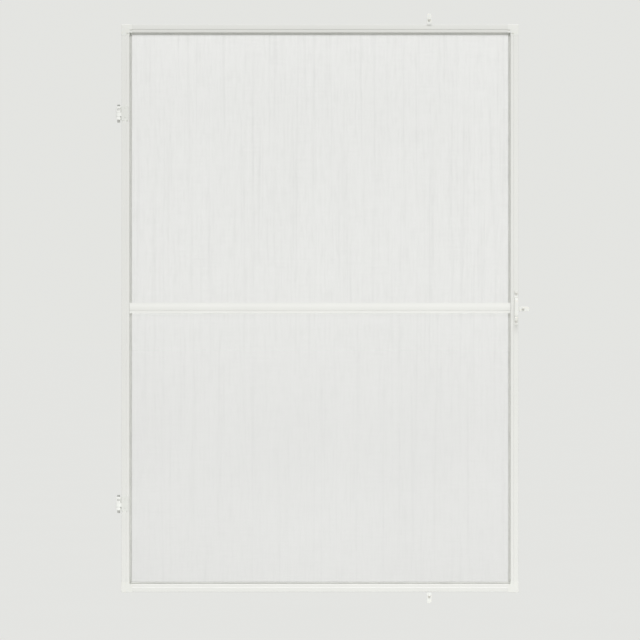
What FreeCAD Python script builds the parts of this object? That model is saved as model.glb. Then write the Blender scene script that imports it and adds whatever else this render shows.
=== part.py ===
import FreeCAD, Part
import math
import os

# Hinged insect-screen frame, millimetres.
# X to the right, Y to the back, Z up. The front, with the handle, faces -Y.
# Y = 0 is the mounting plane that the hinges and turn buttons are screwed to;
# X = 0 is the hinge line; Z = 0 is half way between the two hinge screws.

os.makedirs("parts", exist_ok=True)

V = FreeCAD.Vector

# ---------------------------------------------------------------- driving dimensions
frame_w = 1000.0          # outside width of the frame
frame_h = 1430.0          # outside height of the frame
edge_x = 7.5              # outer edge of the hinge stile from the hinge line
depth = 14.0              # extrusion, front to back
front_y = -16.0           # front face of the extrusions
hinge_half = 492.0        # hinge centres above and below mid height
screw_up = 9.5            # hinge screw above the hinge centre

face_w = 19.8             # raised hollow part of the extrusion
total_w = 26.0            # with the inner step that holds the spline
step_v = 8.0              # front of the inner step, behind the front face
wall = 1.2                # extrusion wall
groove_0, groove_1 = 20.7, 25.0   # spline groove across the section
groove_floor = 12.9       # bottom of the spline groove
corner_len = 26.6         # extrusions stop this far from the outside corner
corner_proud = 1.2        # moulded corners stand out beyond the edges
corner_front = 0.12       # and in front of the face
leg_len = 44.0            # corner leg inside the extrusion

mesh_t = 0.3              # woven sheet
mesh_edge = 24.7          # where the sheet turns down into the groove
flange = 3.6              # depth of the turned-down edge

bar_h = 26.4              # cross bar height
bar_up = 0.9              # cross bar centre above mid height
bar_v1 = 7.4              # back of the cross bar, behind the front plane

axis_y = -10.5            # hinge axis in front of the mounting plane
pin_r = 2.0
knuckle_r = 7.0
bracket_r = 7.2
bracket_half = 17.0       # half the bracket's height
head_r = 3.5              # pin head and cap
head_h = 7.0
cap_h = 4.6
plate_t = 1.1             # hinge plate on the stile

handle_x_in = 6.0         # handle centre line, in from the latch stile's outer edge
handle_screw = 72.0       # between the handle's screws
handle_w = 9.4            # handle, across
button_out = 11.2         # turn-button pivot outside the frame's edge
button_along = 0.775      # place of the top and bottom buttons along the width
button_reach = 16.4       # wing, beyond the pivot
button_tail = 10.0        # short end, on the other side of the pivot
button_r = 6.0
button_hole_r = 2.65
button_shoulder_r = 2.6   # the part of the screw that the button turns on
button_shank_r = 1.75     # the threaded part, behind the mounting plane

x0, x1 = edge_x, edge_x + frame_w
z_mid = -screw_up
zb, zt = z_mid - frame_h / 2, z_mid + frame_h / 2
z_bar = z_mid + bar_up


def place(side, u, v, s):
    """u inwards from the outer edge, v from the front to the back, s along the member."""
    if side == "left":
        return V(x0 + u, front_y + v, zb + s)
    if side == "right":
        return V(x1 - u, front_y + v, zb + s)
    if side == "top":
        return V(x0 + s, front_y + v, zt - u)
    return V(x0 + s, front_y + v, zb + u)


def along(side, length):
    return V(0, 0, length) if side in ("left", "right") else V(length, 0, 0)


def prism(side, section, s0, s1):
    """A closed section in (u, v), run from s0 to s1 along a member."""
    pts = [place(side, u, v, s0) for u, v in section]
    face = Part.Face(Part.makePolygon(pts + [pts[0]]))
    return face.extrude(along(side, s1 - s0))


def block(side, u0, u1, v0, v1, s0, s1):
    return prism(side, [(u0, v0), (u1, v0), (u1, v1), (u0, v1)], s0, s1)


def box(xa, xb, ya, yb, za, zc):
    return Part.makeBox(xb - xa, yb - ya, zc - za, V(xa, ya, za))


def cyl(r, h, p, d):
    return Part.makeCylinder(r, h, V(*p), V(*d))


def arc(cx, cy, r, a0, a1, n):
    """Points of an arc in a section, angles in degrees."""
    return [
        (cx + r * math.cos(math.radians(a0 + (a1 - a0) * i / n)),
         cy + r * math.sin(math.radians(a0 + (a1 - a0) * i / n)))
        for i in range(n + 1)
    ]


def save(shape, name):
    shape = shape.removeSplitter() if len(shape.Solids) == 1 else shape
    assert shape.isValid(), name
    shape.exportStep("parts/" + name + ".step")
    print(name, len(shape.Solids), round(shape.Volume, 1))


# ---------------------------------------------------------------- frame extrusion
# Front: an outer band that leans back a little to the outside, a small step down, a flat inner band
# and a rounded edge into the recess. Back: a T-slot for the pile seal.
# Inside edge: a low step with a U-groove for the spline.
band_v = 1.45             # inner band, behind the front plane
band_lean = 0.75          # outer band, behind the front plane at its outer edge


def outer_section():
    pts = []
    pts += arc(1.6, band_lean + 1.62, 1.6, 180, 262, 10)    # outer front edge
    pts += [(10.7, 0.0), (11.05, 0.05), (11.35, 0.22), (12.1, 1.12), (12.45, 1.38), (12.85, band_v)]
    pts += arc(face_w - 2.2, band_v + 2.2, 2.2, 270, 360, 14)   # rounded edge into the recess
    pts += [(face_w, step_v)]
    pts += [(groove_0, step_v), (groove_0, groove_floor), (groove_1, groove_floor), (groove_1, step_v)]
    pts += arc(total_w - 0.4, step_v + 0.4, 0.4, 270, 360, 5)
    pts += [(total_w, depth)]
    pts += [(7.2, depth), (7.2, 13.0), (8.4, 13.0), (8.4, 11.2), (2.6, 11.2), (2.6, 13.0), (3.8, 13.0), (3.8, depth)]
    pts += arc(0.8, depth - 0.8, 0.8, 90, 180, 6)
    return pts


cavity = [(wall, 2.9), (2.3, 1.85), (10.5, wall), (10.95, 1.4), (12.0, 2.6), (12.7, 2.65), (17.2, 2.65),
          (18.1, 3.0), (18.6, 4.0), (18.6, 12.8), (9.6, 12.8), (9.6, 10.0), (wall, 10.0)]


def member(side):
    length = frame_h if side in ("left", "right") else frame_w
    s0, s1 = corner_len, length - corner_len
    body = prism(side, outer_section(), s0, s1)
    return body.cut(prism(side, cavity, s0 - 1, s1 + 1))


stile_l = member("left")
stile_r = member("right")
rail_t = member("top")
rail_b = member("bottom")

# ---------------------------------------------------------------- cross bar and its connectors
bar_top, bar_bot = z_bar + bar_h / 2, z_bar - bar_h / 2
bar_xa, bar_xb = x0 + face_w + 0.1, x1 - face_w - 0.1


def bar_pts(section, x):
    return [V(x, front_y + v, bar_top - w) for w, v in section]


# S-shaped front: upright at the top edge, leaning back most a quarter of the way down, upright again
# at the crown, and a flat lip below it.
def lean(w):
    """Slope of the front at a depth w below the top edge."""
    if w < 5.6:
        return 0.04 + 0.21 * (0.5 - 0.5 * math.cos(math.pi * w / 5.6))
    return max(0.0, 0.25 * (0.5 + 0.5 * math.cos(math.pi * (w - 5.6) / 11.4))) if w < 17.0 else 0.0


bar_front, v = [], 0.6
for i in range(34):
    w = 17.0 - i * 0.5
    bar_front.append((w, v))
    v += 0.5 * lean(w - 0.25)
bar_front = [q for q in reversed(bar_front) if q[0] > 0.6]
bar_outer = (
    arc(0.5, bar_front[0][1] + 0.55, 0.5, 180, 255, 6)
    + bar_front
    + [(17.9, 0.68), (18.6, 0.84), (19.2, 1.05), (19.55, 1.3), (19.8, 1.58), (20.1, 1.72), (20.5, 1.75)]
    + arc(bar_h - 0.7, 1.75 + 0.7, 0.7, 270, 360, 8)
    + [(bar_h, bar_v1), (0.0, bar_v1)]
)
bar_inner = [(1.2, 4.05), (3.4, 3.75), (6.0, 3.2), (9.0, 2.45), (12.0, 1.95), (14.5, 1.8), (18.4, 2.05), (19.2, 2.9),
             (bar_h - 1.2, 2.9), (bar_h - 1.2, bar_v1 - 1.1), (1.2, bar_v1 - 1.1)]
f = Part.Face(Part.makePolygon(bar_pts(bar_outer, bar_xa) + [bar_pts(bar_outer, bar_xa)[0]]))
cross_bar = f.extrude(V(bar_xb - bar_xa, 0, 0))
f = Part.Face(Part.makePolygon(bar_pts(bar_inner, bar_xa - 1) + [bar_pts(bar_inner, bar_xa - 1)[0]]))
cross_bar = cross_bar.cut(f.extrude(V(bar_xb - bar_xa + 2, 0, 0)))

# A slot in each stile's inner wall takes the connector's hook.
slot_z0, slot_z1 = bar_top - 16.0, bar_top - 4.0
slot_y0, slot_y1 = front_y + 3.75, front_y + 6.2


def connector(sign, x_edge):
    """Tongue in the cross bar, neck through the stile's slot, hook behind its wall."""
    def bx(a, b, ya, yb, za, zc):
        lo, hi = sorted((x_edge + sign * a, x_edge + sign * b))
        return box(lo, hi, ya, yb, za, zc)
    tongue = bx(face_w + 0.3, face_w + 34.0, front_y + 3.85, front_y + 6.1, bar_top - 16.2, bar_top - 4.2)
    foot = bx(face_w + 0.3, face_w + 30.0, front_y + 4.3, front_y + 6.1, bar_bot + 1.4, bar_top - 16.2)
    neck = bx(18.0, face_w + 0.4, slot_y0 + 0.1, slot_y1 - 0.1, slot_z0 + 0.1, slot_z1 - 0.1)
    hook = bx(15.6, 18.5, slot_y0 + 0.1, slot_y1 - 0.1, slot_z0 + 0.1, slot_z1 - 0.1)
    barb = bx(16.2, 18.5, slot_y1 - 0.2, slot_y1 + 1.0, slot_z0 + 2.0, slot_z1 - 2.0)
    body = tongue.fuse([foot, neck, hook, barb])
    relief = bx(face_w + 22.0, face_w + 35.0, front_y + 2.0, front_y + 6.3, bar_top - 10.9, bar_top - 9.4)
    return body.cut(relief)


conn_l = connector(1, x0)
conn_r = connector(-1, x1)
stile_l = stile_l.cut(box(x0 + 17.0, x0 + face_w + 0.2, slot_y0, slot_y1, slot_z0, slot_z1))
stile_r = stile_r.cut(box(x1 - face_w - 0.2, x1 - 17.0, slot_y0, slot_y1, slot_z0, slot_z1))

# ---------------------------------------------------------------- moulded corners
# Each corner is one moulding: an L-shaped raised block, the crossing of the two spline grooves
# in the inner square, and two legs that push into the extrusions.
def corner(horizontal, vertical):
    """Corner between a horizontal and a vertical member, built at the left or right, top or bottom."""
    left = vertical == "left"
    bottom = horizontal == "bottom"

    def pt(a, v, b):
        """a along X inwards from the outer edge, b along Z inwards from the outer edge."""
        return V(x0 + a if left else x1 - a, front_y + v, zb + b if bottom else zt - b)

    def bb(a0, a1, v0, v1, b0, b1):
        p, q = pt(a0, v0, b0), pt(a1, v1, b1)
        return box(min(p.x, q.x), max(p.x, q.x), min(p.y, q.y), max(p.y, q.y), min(p.z, q.z), max(p.z, q.z))

    o, c = -corner_proud, corner_len - 0.05
    raised = bb(o, c, -corner_front, depth - 0.2, o, c)
    # rounded outside corner; the front leans back to both outer edges as the extrusions do
    raised = round_corner(raised, pt(o, 0, o))
    slope = band_lean / 10.7
    section = [(10.7, -corner_front), (o - 1, -corner_front + slope * (11.7 - o)), (o - 1, -3), (10.7, -3)]
    for a in ("h", "v"):
        pts = [pt(o - 1, w, u) if a == "h" else pt(u, w, o - 1) for u, w in section]
        run = pt(c + 1, 0, 0) - pt(o - 1, 0, 0) if a == "h" else pt(0, 0, c + 1) - pt(0, 0, o - 1)
        raised = raised.cut(Part.Face(Part.makePolygon(pts + [pts[0]])).extrude(run))
    raised = soften_front(raised, pt, o)
    inner = bb(face_w, c + 5, -5, step_v, face_w, c + 5)
    body = raised.cut(inner)
    # the inner band of both members runs a little way into the moulding
    body = body.cut(bb(c - 5.5, c + 1, -5, band_v, 12.3, face_w + 1))
    body = body.cut(bb(12.3, face_w + 1, -5, band_v, c - 5.5, c + 1))
    # spline grooves that cross in the inner square
    for cut in (bb(groove_0, c + 5, step_v - 1, groove_floor, groove_0, groove_1),
                bb(groove_0, groove_1, step_v - 1, groove_floor, groove_0, c + 5)):
        body = body.cut(cut)
    # inner edges line up with the step of the extrusions
    body = body.cut(bb(total_w, c + 5, -5, depth + 5, total_w, c + 5))
    # raised zones past the spline groove are at the step's height only where the members have one
    body = body.cut(bb(face_w, c + 5, -5, step_v, face_w, c + 5))
    # T-slot of the pile seal runs through the back
    for a in ("h", "v"):
        for w0, w1, v0, v1 in ((3.8, 7.2, 12.9, depth + 1), (2.6, 8.4, 11.2, 13.0)):
            body = body.cut(bb(2.6, c + 5, v0, v1, w0, w1) if a == "h" else bb(w0, w1, v0, v1, 2.6, c + 5))
    # legs
    tip = corner_len + leg_len
    for a in ("h", "v"):
        for w0, w1, v0, v1 in ((9.8, 18.0, 3.2, 12.6), (2.7, 9.8, 2.0, 9.8)):
            leg = bb(c - 0.1, tip, v0, v1, w0, w1) if a == "h" else bb(w0, w1, v0, v1, c - 0.1, tip)
            body = body.fuse(leg)
        # taper at the tip and hollow back make it a moulding
        hollow = bb(c + 6, tip - 4, 4.4, 14, 11.4, 16.8) if a == "h" else bb(11.4, 16.8, 4.4, 14, c + 6, tip - 4)
        body = body.cut(hollow)
    return body


def round_corner(shape, p):
    edges = [e for e in shape.Edges
             if abs(e.Vertexes[0].Point.x - p.x) < 1e-6 and abs(e.Vertexes[1].Point.x - p.x) < 1e-6
             and abs(e.Vertexes[0].Point.z - p.z) < 1e-6 and abs(e.Vertexes[1].Point.z - p.z) < 1e-6]
    return shape.makeFillet(3.2, edges)


def soften_front(shape, pt, o):
    """Rounds the front edges that lie on the two outer sides and the rounded corner between them."""
    p = pt(o, 0, o)
    edges = []
    for e in shape.Edges:
        m = e.valueAt((e.FirstParameter + e.LastParameter) / 2)
        flat = abs(e.Vertexes[0].Point.y - e.Vertexes[-1].Point.y) < 1.0
        rim = abs(m.x - p.x) < 1e-3 or abs(m.z - p.z) < 1e-3 or (abs(m.x - p.x) < 3.2 and abs(m.z - p.z) < 3.2)
        if flat and rim and m.y < front_y + 1.3 and not (abs(m.x - p.x) > 0.01 and abs(m.z - p.z) > 0.01
                                                         and abs(abs(m.x - p.x) - abs(m.z - p.z)) < 1e-4
                                                         and len(e.Vertexes) == 2 and e.Curve.TypeId == "Part::GeomLine"):
            edges.append(e)
    for r in (1.4, 1.0, 0.7, 0.4):
        try:
            done = shape.makeFillet(r, edges)
            if done.isValid() and len(done.Solids) == 1:
                return done
        except Exception:
            continue
    return shape


corners = {
    "corner_top_left": corner("top", "left"),
    "corner_top_right": corner("top", "right"),
    "corner_bottom_left": corner("bottom", "left"),
    "corner_bottom_right": corner("bottom", "right"),
}

# ---------------------------------------------------------------- woven sheet
# Flat panel behind the cross bar; its edges turn down into the spline groove.
mz0, mz1 = step_v - mesh_t, step_v
mesh = block("bottom", mesh_edge, frame_h - mesh_edge, mz0, mz1, mesh_edge, frame_w - mesh_edge)
for side, length in (("left", frame_h), ("right", frame_h), ("top", frame_w), ("bottom", frame_w)):
    mesh = mesh.fuse(block(side, mesh_edge, mesh_edge + 0.25, mz0, mz1 + flange, 30.0, length - 30.0))

# ---------------------------------------------------------------- spline
# Round PVC cord pressed into the groove, flattened a little by its walls.
def spline(side, s0, s1):
    c, r = (groove_0 + mesh_edge) / 2, (mesh_edge - groove_0) / 2 - 0.05
    cv = 9.55
    pts = [(c - r, cv + 2.1)] + arc(c, cv - 0.1, r, 180, 360, 10) + [(c + r, cv + 2.1)]
    pts += arc(c, cv + 1.35, r - 0.2, 30, 150, 6)
    return prism(side, pts, s0, s1)


splines = {
    "spline_top": spline("top", groove_0 + 0.05, frame_w - groove_0 - 0.05),
    "spline_bottom": spline("bottom", groove_0 + 0.05, frame_w - groove_0 - 0.05),
    "spline_left": spline("left", mesh_edge + 0.05, frame_h - mesh_edge - 0.05),
    "spline_right": spline("right", mesh_edge + 0.05, frame_h - mesh_edge - 0.05),
}

# ---------------------------------------------------------------- pile seal in the back T-slot
def seal(side, s0, s1):
    pts = [(2.8, 11.5), (8.2, 11.5), (8.2, 12.8), (6.7, 12.8), (6.7, 16.0 - 0.05), (4.3, 16.0 - 0.05), (4.3, 12.8), (2.8, 12.8)]
    return prism(side, pts, s0, s1)


seals = {
    "brush_seal_top": seal("top", 2.9, frame_w - 2.9),
    "brush_seal_bottom": seal("bottom", 2.9, frame_w - 2.9),
    "brush_seal_left": seal("left", 8.6, frame_h - 8.6),
    "brush_seal_right": seal("right", 8.6, frame_h - 8.6),
}

# ---------------------------------------------------------------- hinges
def hinge(zc):
    """Fixed bracket (two lugs and a web), screen leaf (knuckle and plate), pin, thrust washer, cap."""
    up_bot, low_top = zc + 2.0, zc - 9.2
    z0, z1 = zc - bracket_half, zc + bracket_half
    # D-shaped plan: round front about the hinge axis, straight sides back to the mounting plane
    d = cyl(bracket_r, z1 - z0, (0, axis_y, z0), (0, 0, 1)).fuse(box(-bracket_r, bracket_r, axis_y, 0, z0, z1))
    d = d.removeSplitter()
    top_edges = [e for e in d.Edges if all(abs(vx.Point.z - z1) < 1e-6 for vx in e.Vertexes)
                 and all(vx.Point.y < -0.01 or abs(vx.Point.y) < 1e-6 for vx in e.Vertexes)
                 and not all(abs(vx.Point.y) < 1e-6 for vx in e.Vertexes)]
    bot_edges = [e for e in d.Edges if all(abs(vx.Point.z - z0) < 1e-6 for vx in e.Vertexes)
                 and not all(abs(vx.Point.y) < 1e-6 for vx in e.Vertexes)]
    d = d.makeFillet(1.2, top_edges + bot_edges)
    # gap for the knuckle, leaving a narrower web at the back
    gap = box(-bracket_r - 1, bracket_r + 1, axis_y - bracket_r - 1, -3.1, low_top, up_bot)
    bracket = d.cut(gap)
    for sx in (-1, 1):
        xa, xb = sorted((sx * 5.8, sx * (bracket_r + 1)))
        bracket = bracket.cut(box(xa, xb, -4.0, 1.0, low_top, up_bot))
    # screw hole with a counterbore, through the upper lug
    zs = zc + screw_up
    bracket = bracket.cut(cyl(2.15, 30, (0, -25, zs), (0, 1, 0)))
    bracket = bracket.cut(cyl(3.7, 25 - 13.2, (0, -25, zs), (0, 1, 0)))
    # pin bore: through the lower lug, blind in the upper one
    bracket = bracket.cut(cyl(pin_r + 0.02, (zc + 6.1) - (z0 - 1), (0, axis_y, z0 - 1), (0, 0, 1)))
    # locating pip on the back of the lower lug
    bracket = bracket.fuse(cyl(2.0, 3.5, (0, -0.5, zc - 13.0), (0, 1, 0)))
    # screen leaf
    kz0, kz1 = low_top + 1.05, up_bot - 0.2
    knuckle = cyl(knuckle_r, kz1 - kz0, (0, axis_y, kz0), (0, 0, 1))
    arm = box(0, edge_x + 2.0, front_y - plate_t, front_y, kz0, kz1)
    # the plate reaches round the stile's outer edge, close to the lugs
    plate = box(edge_x - 0.8, edge_x + 17.0, front_y - plate_t, front_y + band_v, zc - 18.0, zc + 18.0)
    pe = [e for e in plate.Edges if abs(e.Vertexes[0].Point.z - e.Vertexes[1].Point.z) < 1e-6
          and abs(e.Vertexes[0].Point.x - e.Vertexes[1].Point.x) < 1e-6]
    plate = plate.makeFillet(2.0, pe)
    fe = [e for e in plate.Edges if all(abs(vx.Point.y - (front_y - plate_t)) < 1e-6 for vx in e.Vertexes)]
    plate = plate.makeFillet(0.45, fe)
    plate = plate.cut(box(edge_x - 2, edge_x, front_y, front_y + 5, zc - 19, zc + 19))
    leaf = knuckle.fuse([arm, plate]).removeSplitter()
    # its underside follows the extrusion
    leaf = leaf.cut(prism("left", outer_section(), corner_len, frame_h - corner_len))
    leaf = leaf.cut(cyl(pin_r + 0.05, 40, (0, axis_y, kz0 - 5), (0, 0, 1)))
    screws = []
    for dz in (-12.0, 12.0):
        x = edge_x + 8.6
        leaf = leaf.cut(cyl(1.85, 10, (x, front_y - 5, zc + dz), (0, 1, 0)))
        leaf = leaf.cut(Part.makeCone(3.0, 1.85, plate_t, V(x, front_y - plate_t, zc + dz), V(0, 1, 0)))
        s = Part.makeCone(2.9, 1.75, plate_t, V(x, front_y - plate_t + 0.05, zc + dz), V(0, 1, 0))
        s = s.fuse(cyl(1.75, 7.5, (x, front_y - 0.5, zc + dz), (0, 1, 0)))
        s = s.fuse(Part.makeCone(1.75, 0.4, 2.5, V(x, front_y + 7.0, zc + dz), V(0, 1, 0)))
        for rot in (0, 90):
            slot = Part.makeBox(3.2, 0.9, 0.7, V(-1.6, -0.5, -0.35))
            slot.rotate(V(0, 0, 0), V(0, 1, 0), rot)
            slot.translate(V(x, front_y - plate_t + 0.05, zc + dz))
            s = s.cut(slot)
        screws.append(s)
    pin = cyl(pin_r, (zc + 5.9) - (z0 - 1.0), (0, axis_y, z0 - 1.0), (0, 0, 1))
    ce = [e for e in pin.Edges if len(e.Vertexes) == 1 and e.Vertexes[0].Point.z > zc]
    pin = pin.makeChamfer(0.35, ce)
    head = cyl(head_r, head_h, (0, axis_y, z0 - 0.05 - head_h), (0, 0, 1))
    head = head.makeFillet(1.1, [e for e in head.Edges if len(e.Vertexes) == 1 and e.Vertexes[0].Point.z < z0 - 2])
    pin = pin.fuse(head).removeSplitter()
    # cap: a short plug in the top of the upper lug
    bracket = bracket.cut(cyl(1.72, 2.3, (0, axis_y, z1 - 2.1), (0, 0, 1)))
    cap = cyl(head_r, cap_h, (0, axis_y, z1 + 0.05), (0, 0, 1))
    cap = cap.makeFillet(1.2, [e for e in cap.Edges if len(e.Vertexes) == 1 and e.Vertexes[0].Point.z > z1 + 2])
    cap = cap.fuse(cyl(1.7, 2.0, (0, axis_y, z1 - 1.9), (0, 0, 1))).removeSplitter()
    washer = cyl(knuckle_r - 0.15, 0.95, (0, axis_y, low_top + 0.05), (0, 0, 1)).cut(
        cyl(pin_r + 0.1, 5, (0, axis_y, low_top - 2), (0, 0, 1)))
    return bracket, leaf, pin, washer, cap, screws


zc_up, zc_low = z_mid + hinge_half, z_mid - hinge_half
b_up, l_up, p_up, w_up, c_up, s_up = hinge(zc_up)
b_lo, l_lo, p_lo, w_lo, c_lo, s_lo = hinge(zc_low)

# screw holes in the stile's front wall
for zc in (zc_up, zc_low):
    for dz in (-12.0, 12.0):
        stile_l = stile_l.cut(cyl(1.8, 4.0, (edge_x + 8.6, front_y - 1, zc + dz), (0, 1, 0)))

# ---------------------------------------------------------------- pull handle
hx = x1 - handle_x_in
hz = z_bar + 0.6
h2 = handle_screw / 2


def handle():
    """Bow handle: two flat feet, two legs and a straight grip, rounded all over."""
    y = front_y
    side = [(-43.5, -0.8), (-43.5, 3.2), (-27.5, 3.2), (-24.0, 24.5), (24.0, 24.5), (27.5, 3.2), (43.5, 3.2),
            (43.5, -0.8), (21.6, -0.8), (18.8, 19.3), (-18.8, 19.3), (-21.6, -0.8)]
    poly = [V(hx - handle_w / 2, y - q, hz + p) for p, q in side]
    body = Part.Face(Part.makePolygon(poly + [poly[0]])).extrude(V(handle_w, 0, 0))

    def cross(shape, marks):
        """Edges along X at these (z, y) places."""
        found = []
        for e in shape.Edges:
            a, b = e.Vertexes[0].Point, e.Vertexes[-1].Point
            if abs(a.x - b.x) > handle_w - 0.1 and any(
                    abs(a.z - hz - p) < 1e-4 and abs(y - a.y - q) < 1e-4 for p, q in marks):
                found.append(e)
        return found

    body = body.makeFillet(8.0, cross(body, [(-24.0, 24.5), (24.0, 24.5)]))
    body = body.makeFillet(4.5, cross(body, [(-18.8, 19.3), (18.8, 19.3)]))
    body = body.makeFillet(5.0, cross(body, [(-27.5, 3.2), (27.5, 3.2)]))
    ends = [e for e in body.Edges
            if abs(abs(e.Vertexes[0].Point.z - hz) - 43.5) < 1e-4 and abs(abs(e.Vertexes[-1].Point.z - hz) - 43.5) < 1e-4
            and abs(e.Vertexes[0].Point.y - e.Vertexes[-1].Point.y) > 2.0]
    body = body.makeFillet(4.2, ends)
    # round every edge but those that lie on the stile
    rims = [e for e in body.Edges
            if min(y - v.Point.y for v in e.Vertexes) > 0.01 or max(y - v.Point.y for v in e.Vertexes) > 0.5]
    rims = [e for e in rims if not (abs(e.Vertexes[0].Point.z - e.Vertexes[-1].Point.z) < 1e-6
                                    and abs(e.Vertexes[0].Point.y - e.Vertexes[-1].Point.y) < 1e-6)]
    rims = [e for e in rims if not (abs(e.Vertexes[0].Point.x - e.Vertexes[-1].Point.x) < 1e-6
                                    and abs(e.Vertexes[0].Point.z - e.Vertexes[-1].Point.z) < 1e-6)]
    for r in (1.6, 1.2, 0.8):
        try:
            done = body.makeFillet(r, rims)
            if done.isValid() and done.Volume > 0:
                return done
        except Exception:
            continue
    return body


grip = handle().cut(stile_r)    # its feet follow the extrusion
h_screws = []
for dz in (-h2, h2):
    grip = grip.cut(cyl(1.9, 12, (hx, front_y - 8, hz + dz), (0, 1, 0)))
    stile_r = stile_r.cut(cyl(1.8, 4.0, (hx, front_y - 1, hz + dz), (0, 1, 0)))
    s = cyl(3.4, 1.9, (hx, front_y - 3.2 - 1.95, hz + dz), (0, 1, 0))
    rim = [e for e in s.Edges if len(e.Vertexes) == 1 and abs(e.Vertexes[0].Point.y - (front_y - 5.15)) < 1e-6]
    s = s.makeFillet(0.9, rim)
    s = s.fuse(cyl(1.75, 10.5, (hx, front_y - 4.0, hz + dz), (0, 1, 0)))
    s = s.fuse(Part.makeCone(1.75, 0.4, 2.5, V(hx, front_y + 6.5, hz + dz), V(0, 1, 0)))
    for rot in (0, 90):
        slot = Part.makeBox(3.6, 1.4, 0.8, V(-1.8, -0.1, -0.4))
        slot.rotate(V(0, 0, 0), V(0, 1, 0), rot)
        slot.translate(V(hx, front_y - 5.2, hz + dz))
        s = s.cut(slot)
    h_screws.append(s)

# ---------------------------------------------------------------- turn buttons
# A stepped button: a boss as tall as the frame is deep, and a flat wing in front of the face.
# Drawn released: the wing points away from the frame, its short end stops beside the frame's edge.
wing_y0, wing_y1 = front_y - 3.2, front_y - 0.4


def button(px, pz, angle):
    """angle turns the wing about +Y from pointing up."""
    wing = box(-button_r, button_r, wing_y0, wing_y1, -button_tail, button_reach)
    far = [e for e in wing.Edges if abs(e.Vertexes[0].Point.z - button_reach) < 1e-6
           and abs(e.Vertexes[1].Point.z - button_reach) < 1e-6
           and abs(e.Vertexes[0].Point.y - e.Vertexes[1].Point.y) > 1.0]
    wing = wing.makeFillet(4.5, far)
    near = [e for e in wing.Edges if abs(e.Vertexes[0].Point.z + button_tail) < 1e-6
            and abs(e.Vertexes[1].Point.z + button_tail) < 1e-6
            and abs(e.Vertexes[0].Point.y - e.Vertexes[1].Point.y) > 1.0]
    wing = wing.makeFillet(2.6, near)
    rim = [e for e in wing.Edges if all(abs(vx.Point.y - wing_y0) < 1e-6 for vx in e.Vertexes)]
    wing = wing.makeFillet(1.0, rim)
    boss = cyl(button_r - 0.4, -wing_y1 + 0.5, (0, wing_y1 - 0.5, 0), (0, 1, 0))
    body = wing.fuse(boss).removeSplitter()
    body = body.cut(cyl(button_hole_r, 40, (0, -30, 0), (0, 1, 0)))
    body.rotate(V(0, 0, 0), V(0, 1, 0), angle)
    body.translate(V(px, 0, pz))
    return body


bx = x0 + frame_w * button_along
btn_top = (bx, zt + button_out)
btn_bot = (bx, zb - button_out)
btn_side = (x1 + button_out, z_bar - 2.7)
b_top = button(btn_top[0], btn_top[1], 0)
b_bot = button(btn_bot[0], btn_bot[1], 180)
b_side = button(btn_side[0], btn_side[1], 90)
b_screws = []
for px, pz in (btn_top, btn_bot, btn_side):
    s = cyl(3.6, 2.2, (px, wing_y0 - 2.25, pz), (0, 1, 0))
    rim = [e for e in s.Edges if len(e.Vertexes) == 1 and abs(e.Vertexes[0].Point.y - (wing_y0 - 2.25)) < 1e-6]
    s = s.makeFillet(1.0, rim)
    s = s.fuse(cyl(button_shoulder_r, -(wing_y0 - 0.5), (px, wing_y0 - 0.5, pz), (0, 1, 0)))
    s = s.fuse(cyl(button_shank_r, 20.5, (px, -0.5, pz), (0, 1, 0)))
    s = s.fuse(Part.makeCone(button_shank_r, 0.3, 4.0, V(px, 20.0, pz), V(0, 1, 0)))
    for rot in (0, 90):
        slot = Part.makeBox(3.8, 1.5, 0.8, V(-1.9, -0.1, -0.4))
        slot.rotate(V(0, 0, 0), V(0, 1, 0), rot)
        slot.translate(V(px, wing_y0 - 2.3, pz))
        s = s.cut(slot)
    b_screws.append(s)

# ---------------------------------------------------------------- one file per piece
save(stile_l, "hinge_stile")
save(stile_r, "latch_stile")
save(rail_t, "top_rail")
save(rail_b, "bottom_rail")
for name, shape in corners.items():
    save(shape, name)
save(cross_bar, "cross_bar")
save(conn_l, "cross_bar_connector_left")
save(conn_r, "cross_bar_connector_right")
save(mesh, "insect_mesh")
for name, shape in splines.items():
    save(shape, name)
for name, shape in seals.items():
    save(shape, name)
save(b_up, "hinge_bracket_upper")
save(b_lo, "hinge_bracket_lower")
save(l_up, "hinge_leaf_upper")
save(l_lo, "hinge_leaf_lower")
save(p_up, "hinge_pin_upper")
save(p_lo, "hinge_pin_lower")
save(Part.makeCompound([w_up, w_lo]), "hinge_washers")
save(Part.makeCompound([c_up, c_lo]), "hinge_caps")
save(Part.makeCompound(s_up + s_lo), "leaf_screws")
save(grip, "pull_handle")
save(Part.makeCompound(h_screws), "handle_screws")
save(b_top, "turn_button_top")
save(b_bot, "turn_button_bottom")
save(b_side, "turn_button_side")
save(Part.makeCompound(b_screws), "turn_button_screws")
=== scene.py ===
import math
import random

import bpy
import bmesh
import numpy as np
from mathutils import Matrix, Vector, noise


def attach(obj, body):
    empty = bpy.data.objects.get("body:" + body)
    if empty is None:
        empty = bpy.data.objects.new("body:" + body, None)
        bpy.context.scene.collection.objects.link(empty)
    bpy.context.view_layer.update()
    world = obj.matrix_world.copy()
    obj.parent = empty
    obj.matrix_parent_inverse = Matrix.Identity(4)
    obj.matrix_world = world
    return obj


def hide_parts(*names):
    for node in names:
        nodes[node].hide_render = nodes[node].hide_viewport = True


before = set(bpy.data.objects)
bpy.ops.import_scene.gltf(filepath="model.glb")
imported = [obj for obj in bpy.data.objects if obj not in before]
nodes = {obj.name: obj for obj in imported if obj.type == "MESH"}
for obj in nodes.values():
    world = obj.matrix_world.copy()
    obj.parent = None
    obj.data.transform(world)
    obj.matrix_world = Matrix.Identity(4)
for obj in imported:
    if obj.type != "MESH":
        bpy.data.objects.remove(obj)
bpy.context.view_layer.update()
scene = bpy.context.scene
scene.view_settings.view_transform = "Standard"
scene.view_settings.look = "None"

MM = 0.001

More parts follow.
